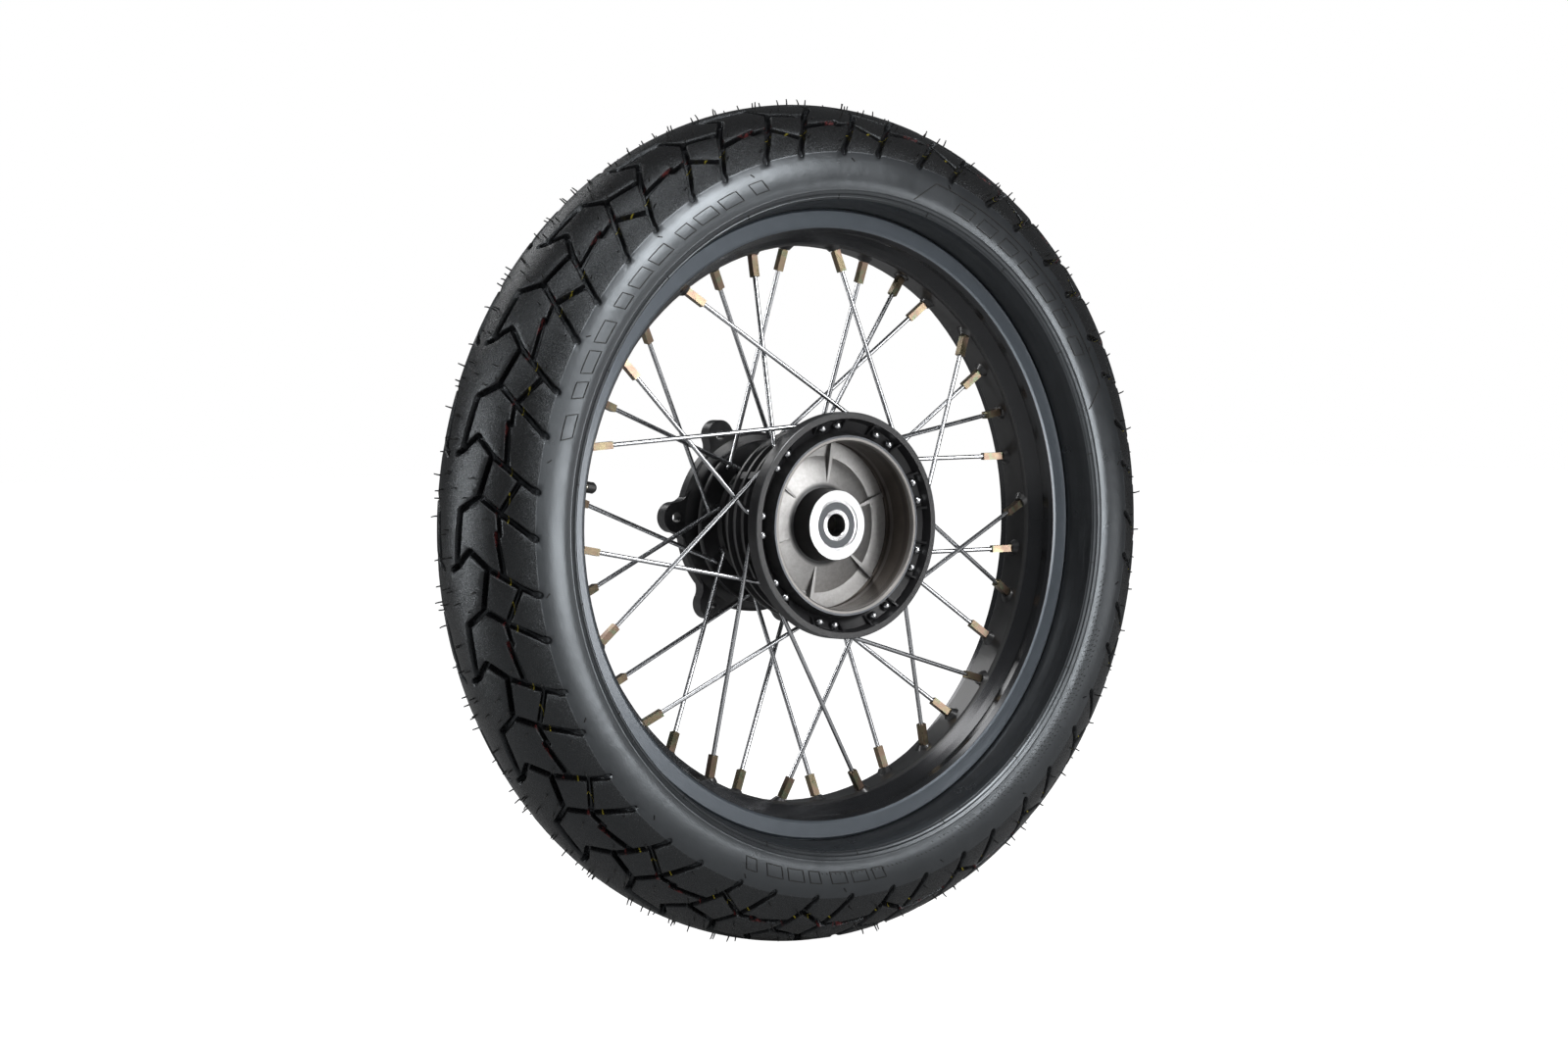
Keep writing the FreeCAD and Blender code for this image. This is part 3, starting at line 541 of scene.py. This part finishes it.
def side_outline():
    """Section from the tread's edge to the bead and round the inside, as (radius, half width)."""
    out = []
    edge = math.radians(TREAD_EDGE)
    for k in range(EDGE_STEPS + 1):
        a = edge + (math.pi / 2 - edge) * k / EDGE_STEPS
        out.append((SECTION_R + SECTION * math.cos(a), SECTION * math.sin(a)))
    for k in range(1, ARC_STEPS + 1):
        a = math.pi / 2 + math.radians(BEAD_TURN) * k / ARC_STEPS
        out.append((SECTION_R + BEAD_ARC * math.cos(a),
                    SECTION - BEAD_ARC + BEAD_ARC * math.sin(a)))
    last = out[-1]
    for k in range(1, BOW_STEPS + 1):
        share = k / BOW_STEPS
        bow = BEAD_BOW * math.sin(math.pi * share)
        out.append((last[0] + (BEAD_TOP[0] - last[0]) * share + bow,
                    last[1] + (BEAD_TOP[1] - last[1]) * share))
    shaped = []
    for r, w in out:
        lift = sum(h * max(0.0, 1 - abs(r - c) / RING_HALF) for c, h in RINGS)
        shaped.append((r, w + lift))
    shaped += BEAD
    widest, half = BEAD[-1]
    for k in range(1, INSIDE_STEPS + 1):
        a = math.pi / 2 * (1 - k / INSIDE_STEPS)
        shaped.append((widest + INSIDE_RISE * math.cos(a), half * math.sin(a)))
    return shaped


WELD = 2e-5             # points of the tyre nearer than this are joined
TYRE_SHARP = 32         # degrees between faces above which an edge stays sharp


def build_tyre():
    """The tyre with its tread, in place of the plain CAD tyre."""
    flat_verts, flat_faces, lines = tread_patch()
    sunk = [sink(p, lines) for p in flat_verts]
    verts, faces, depth, lean = [], [], [], []
    for near in (True, False):
        for pitch in range(PITCHES):
            first = len(verts)
            for p, s in zip(flat_verts, sunk):
                turn = START + p.x / DEGREE + pitch * PITCH
                angle = p.y / ARC
                place = angle if near else other_side(angle)
                verts.append(on_section(turn, place, -s))
                depth.append(s)
                lean.append(angle)
            for face in flat_faces:
                ring = [first + k for k in face]
                faces.append(ring if near else ring[::-1])
    around = PITCHES * COLUMNS
    outline = side_outline()
    closed = [(r, -w) for r, w in outline] + [(r, w) for r, w in reversed(outline[:-1])]
    first = len(verts)
    for i in range(around):
        turn = START + i * PITCH / COLUMNS
        for k, (r, y) in enumerate(closed):
            verts.append(on_wheel(r, y, turn))
            depth.append(0.0)
            lean.append(90.0)
    n = len(closed)
    for i in range(around):
        j = (i + 1) % around
        for k in range(n - 1):
            a, b = first + i * n + k, first + j * n + k
            faces.append([a, a + 1, b + 1, b])
    tyre = new_piece("tyre_detailed", verts, faces, "wheel", TREAD, smooth=None)
    mesh = tyre.data
    for name, values in (("depth", depth), ("lean", lean)):
        attribute = mesh.attributes.new(name, "FLOAT", "POINT")
        attribute.data.foreach_set("value", values)
    bm = bmesh.new()
    bm.from_mesh(mesh)
    bmesh.ops.remove_doubles(bm, verts=bm.verts, dist=WELD)
    bmesh.ops.recalc_face_normals(bm, faces=bm.faces)
    bm.to_mesh(mesh)
    bm.free()
    mesh.shade_smooth()
    mesh.set_sharp_from_angle(angle=math.radians(TYRE_SHARP))
    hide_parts("tyre")


build_tyre()

# moulding hairs of one pitch of the drum side: degrees round the wheel and round the section
HAIRS = [(174.4, 5.8), (168.1, 1.3), (175.5, 16.3), (174.3, 25.4), (175.8, 37.6), (174.9, 52.2),
         (181.8, 19.5), (187.5, 21.7), (189.4, 26.7), (190.7, 27.2), (182.8, 28.1), (183.9, 39.0),
         (178.1, 33.1), (179.0, 42.2), (180.8, 61.0), (186.4, 57.0), (172.4, -1.8), (179.9, -1.8)]
HAIR_LENGTH = 0.0052
HAIR_THICK = 0.00066    # radius at the foot
HAIR_TAPER = 0.3        # share of that radius lost by the tip
HAIR_RINGS, HAIR_SIDES = 4, 5
CLEAR = 0.0006          # hairs keep this far from the grooves and from the floor


def build_hairs():
    """Thin rubber hairs left by the mould's vents, none of them reaching the floor."""
    verts, faces = [], []
    lines = [([flat(t + k * PITCH, s) for t, s in points], half) for points, half, _ in GROOVES
             for k in (-1, 0, 1)]
    seed = 7
    for near in (True, False):
        for pitch in range(PITCHES):
            for turn, lean in HAIRS:
                seed = (seed * 1103515245 + 12345) % 2147483648
                wild = seed / 2147483648
                spot = flat(turn, lean)
                if min(nearest(spot, line) - half for line, half in lines) < CLEAR:
                    continue
                angle = lean + (wild - 0.5) * 1.2
                turn += (wild * 7 % 1 - 0.5) * 0.6
                place = angle if near else other_side(angle)
                length = HAIR_LENGTH * (0.55 + 0.55 * (wild * 13 % 1))
                foot = on_section(turn + pitch * PITCH, place, -0.0003)
                out = (on_section(turn + pitch * PITCH, place, 0.01) - foot).normalized()
                way = out.cross(Vector((0, 1, 0))).normalized()
                sway = way * (wild * 3 % 1 - 0.35) + Vector((0, 1, 0)) * (wild * 5 % 1 - 0.5)
                sway *= 0.5
                if (foot + out * length).z < FLOOR_Z + CLEAR:
                    continue
                side = out.cross(way)
                first = len(verts)
                for k in range(HAIR_RINGS):
                    share = k / (HAIR_RINGS - 1)
                    mid = foot + out * (length * share) + sway * (length * share * share * 0.7)
                    for c in range(HAIR_SIDES):
                        w = TAU * c / HAIR_SIDES
                        verts.append(mid + (way * math.cos(w) + side * math.sin(w))
                                     * (HAIR_THICK * (1 - HAIR_TAPER * share)))
                for k in range(HAIR_RINGS - 1):
                    ring = first + k * HAIR_SIDES
                    for c in range(HAIR_SIDES):
                        a, b = ring + c, ring + (c + 1) % HAIR_SIDES
                        faces.append([a, b, b + HAIR_SIDES, a + HAIR_SIDES])
                tip = first + (HAIR_RINGS - 1) * HAIR_SIDES
                faces.append([tip + c for c in range(HAIR_SIDES)])
                faces.append([first + c for c in reversed(range(HAIR_SIDES))])
    new_piece("moulding_hairs", verts, faces, "wheel", MATERIALS["tube_rubber"])


build_hairs()


def on_wall(turn, radius, lift, near=True):
    """Point on a sidewall at a radius."""
    if radius > SECTION_R:
        s = (radius - SECTION_R) / SECTION
        y, out = SECTION * math.sqrt(1 - s * s), s
    else:
        s = (radius - SECTION_R) / BEAD_ARC
        y, out = SECTION - BEAD_ARC + BEAD_ARC * math.sqrt(1 - s * s), s
    y += lift * math.sqrt(1 - out * out)
    return on_wheel(radius + lift * out, -y if near else y, turn)


RUN = 0.003             # longest step along a raised line
ROOT = -0.0002          # its edges lie this far below the sidewall


def raised_line(verts, faces, path, width, height, near, closed=False):
    """Low rounded rib along a path of (degrees round the wheel, radius) on a sidewall."""
    fine = []
    count = len(path) if closed else len(path) - 1
    for i in range(count):
        (t0, r0), (t1, r1) = path[i], path[(i + 1) % len(path)]
        far = math.hypot((t1 - t0) * math.radians(1) * r0, r1 - r0)
        steps = max(1, int(far / RUN))
        fine += [(t0 + (t1 - t0) * k / steps, r0 + (r1 - r0) * k / steps) for k in range(steps)]
    if not closed:
        fine.append(path[-1])
    n = len(fine)
    first = len(verts)
    for i, (t, r) in enumerate(fine):
        before = fine[i - 1] if i or closed else fine[i]
        after = fine[(i + 1) % n] if i < n - 1 or closed else fine[i]
        dx = (after[0] - before[0]) * math.radians(1) * r
        dy = after[1] - before[1]
        size = math.hypot(dx, dy) or 1.0
        nx, ny = -dy / size, dx / size
        for across, lift in ((-0.5, ROOT), (-0.3, height), (0.3, height), (0.5, ROOT)):
            verts.append(on_wall(t + math.degrees(nx * across * width / r),
                                 r + ny * across * width, lift, near))
    for i in range(n if closed else n - 1):
        a, b = first + i * 4, first + (i + 1) % n * 4
        for k in range(3):
            faces.append([a + k, b + k, b + k + 1, a + k + 1])
        faces.append([a + 3, b + 3, b, a])
    if not closed:
        last = first + (n - 1) * 4
        faces.append([first + 3, first + 2, first + 1, first])
        faces.append([last, last + 1, last + 2, last + 3])


def slanted_bar(t0, t1, r0, r1, slant):
    """Corners of a bar between two angles and two radii, its outer side shifted by slant."""
    return [(t0, r0), (t1, r0), (t1 + slant, r1), (t0 + slant, r1)]


BIG_BARS = [(107.0, 5.4, 11), (-112.0, 4.4, 7)]     # first angle, step and count
FRAME_LINE = [(20.0, 0.2590), (23.0, 0.2770), (30.0, 0.2775), (45.0, 0.2775), (60.0, 0.2775),
              (72.0, 0.2775), (76.0, 0.2590)]
# rows of small ticks: radius, first angle and count
TICKS = [(0.2612, -72.0, 70), (0.2640, -66.0, 62), (0.2668, -96.0, 84), (0.2700, -50.0, 34)]
TICK_STEP, TICK_SLANT = 0.92, 0.28                  # degrees


def build_wall_relief():
    """Plain raised outlines, frames and ticks on both sidewalls, with nothing to read."""
    verts, faces = [], []
    for near in (True, False):
        for start, step, count in BIG_BARS:
            for k in range(count):
                wide = step * (0.72 if k % 3 else 0.5)
                bar = slanted_bar(start + k * step, start + k * step + wide, 0.2655, 0.2745, 0.9)
                raised_line(verts, faces, bar, 0.0010, 0.0005, near, True)
        raised_line(verts, faces, FRAME_LINE, 0.0012, 0.0005, near)
        for k in range(7):
            bar = slanted_bar(30.0 + k * 5.6, 33.6 + k * 5.6, 0.2630, 0.2725, -0.9)
            raised_line(verts, faces, bar, 0.0011, 0.0005, near, True)
        for radius, start, count in TICKS:
            for k in range(count):
                t = start + k * TICK_STEP
                if (k * 7 + count) % 11:        # a tick is left out here and there
                    tick = [(t, radius - 0.0006), (t + TICK_SLANT, radius + 0.0006)]
                    raised_line(verts, faces, tick, 0.0007, 0.0003, near)
        for k in range(18):                     # short marks at the tread's edge and the bead
            t = 9.0 + k * 20.0
            raised_line(verts, faces, [(t, 0.2786), (t + 0.5, 0.2812)], 0.0010, 0.0007, near)
            raised_line(verts, faces, [(t + 3.0, 0.2500), (t + 3.1, 0.2535)], 0.0009, 0.0005, near)
    # darker rubber on the relief: painted shade along its outlines
    new_piece("sidewall_relief", verts, faces, "wheel", SHADED_RELIEF, smooth=50)


build_wall_relief()

# ---------------------------------------------------------------- hub castings

# drum-side spoke heads: angle of the first of nine, and the side its gusset stands on
HEADS = [(13.5, -1), (24.5, 1)]
GUSSET_SHIFT = 4.7      # degrees from a head to its gusset
# corners as (radius, place along the axle, half the thickness)
GUSSET = [(0.0738, -0.0432, 0.0013), (0.0808, -0.0474, 0.0013), (0.0820, -0.0532, 0.0013),
          (0.0806, -0.0520, 0.0007), (0.0748, -0.0462, 0.0007)]


def build_gussets():
    """Small gussets between the spoke heads and the lip of the drum-side flange."""
    verts, faces = [], []
    n = len(GUSSET)
    for angle, way in HEADS:
        for k in range(9):
            middle = angle + 40 * k + way * GUSSET_SHIFT
            first = len(verts)
            for side in (-1, 1):
                for r, y, thick in GUSSET:
                    verts.append(on_wheel(r, y, middle + math.degrees(side * thick / r)))
            faces.append([first + i for i in range(n)])
            faces.append([first + n + i for i in reversed(range(n))])
            for i in range(n):
                j = (i + 1) % n
                faces.append([first + j, first + i, first + n + i, first + n + j])
    new_piece("hub_gussets", verts, faces, "wheel", MATERIALS["hub_casting"],
              smooth=None)


build_gussets()

# ---------------------------------------------------------------- camera, light, floor

AZIMUTH, ELEVATION, DISTANCE = math.radians(-37.024), math.radians(1.944), 3.011
ASIDE, ABOVE = -0.015423, 0.000926      # camera's place beside and above the line to the axle
SENSOR, LENS = 36, 88.82                # millimetres
FAR = 50
back = Vector((math.sin(AZIMUTH) * math.cos(ELEVATION), -math.cos(AZIMUTH) * math.cos(ELEVATION),
               math.sin(ELEVATION)))
right = Vector((math.cos(AZIMUTH), math.sin(AZIMUTH), 0))
up = back.cross(right)
camera_data = bpy.data.cameras.new("camera")
camera_data.sensor_width = SENSOR
camera_data.lens = LENS
camera = bpy.data.objects.new("camera", camera_data)
bpy.context.scene.collection.objects.link(camera)
camera.location = right * ASIDE + up * ABOVE + back * DISTANCE
camera.rotation_mode = "QUATERNION"
camera.rotation_quaternion = (-back).to_track_quat("-Z", "Y")
camera_data.clip_end = FAR
bpy.context.scene.camera = camera


def soft_light(name, place, size, power):
    """Softbox that points at the middle of the wheel and stays out of the picture."""
    light = bpy.data.lights.new(name, "AREA")
    light.shape = "RECTANGLE"
    light.size, light.size_y = size
    light.energy = power
    obj = bpy.data.objects.new(name, light)
    bpy.context.scene.collection.objects.link(obj)
    obj.location = place
    obj.rotation_mode = "QUATERNION"
    obj.rotation_quaternion = (-Vector(place)).to_track_quat("-Z", "Y")
    obj.visible_camera = False


# place, size in metres and power in watts
SOFTBOXES = {
    "front_right_low": ((0.82, -2.12, -0.38), (0.9, 0.9), 30),
    "front_right_high": ((0.68, -1.95, 0.98), (0.7, 0.7), 26),
    "right_wide": ((1.75, -1.15, -0.45), (0.7, 0.9), 4),
    "right_low": ((2.15, -0.45, -0.75), (0.6, 0.6), 14),
    "back_high": ((-0.34, 1.92, 1.42), (0.8, 0.5), 6),
    "left_back": ((-2.05, 0.86, 0.22), (0.35, 1.2), 24),
    "left_high": ((-1.80, -0.31, 1.54), (0.9, 0.9), 5),
    "left_front_high": ((-0.48, -0.88, 1.85), (1.0, 0.5), 12),
    "front": ((-0.24, -2.35, 0.41), (0.9, 0.9), 4),
}
for name, (place, size, power) in SOFTBOXES.items():
    soft_light(name, place, size, power)

# the camera sees a white world, and the wheel is lit by a dim one
GLOW = 0.10
world = bpy.data.worlds.new("studio")
world.use_nodes = True
bpy.context.scene.world = world
tree = world.node_tree
seen = tree.nodes["Background"]
seen.inputs["Color"].default_value = (1, 1, 1, 1)
seen.inputs["Strength"].default_value = 1.0
glow = tree.nodes.new("ShaderNodeBackground")
glow.inputs["Color"].default_value = (0.92, 0.96, 1.0, 1)
glow.inputs["Strength"].default_value = GLOW
path = tree.nodes.new("ShaderNodeLightPath")
choose = tree.nodes.new("ShaderNodeMixShader")
tree.links.new(path.outputs["Is Camera Ray"], choose.inputs[0])
tree.links.new(glow.outputs[0], choose.inputs[1])
tree.links.new(seen.outputs[0], choose.inputs[2])
tree.links.new(choose.outputs[0], tree.nodes["World Output"].inputs["Surface"])

FLOOR_REACH = 14.0
corners = [(x * FLOOR_REACH, y * FLOOR_REACH, FLOOR_Z)
           for x, y in ((-1, -1), (1, -1), (1, 1), (-1, 1))]
floor_mesh = bpy.data.meshes.new("floor")
floor_mesh.from_pydata(corners, [], [(0, 1, 2, 3)])
paper = Nodes("floor_paper")
paper.set(Base_Color=(0.50, 0.50, 0.50, 1), Roughness=0.9, Emission_Color=(1, 1, 1, 1),
          Emission_Strength=paper.add("LightPath").outputs["Is Camera Ray"])
floor_mesh.materials.append(paper.material)
floor = bpy.data.objects.new("floor", floor_mesh)
bpy.context.scene.collection.objects.link(floor)

bpy.context.scene.view_settings.view_transform = "Standard"
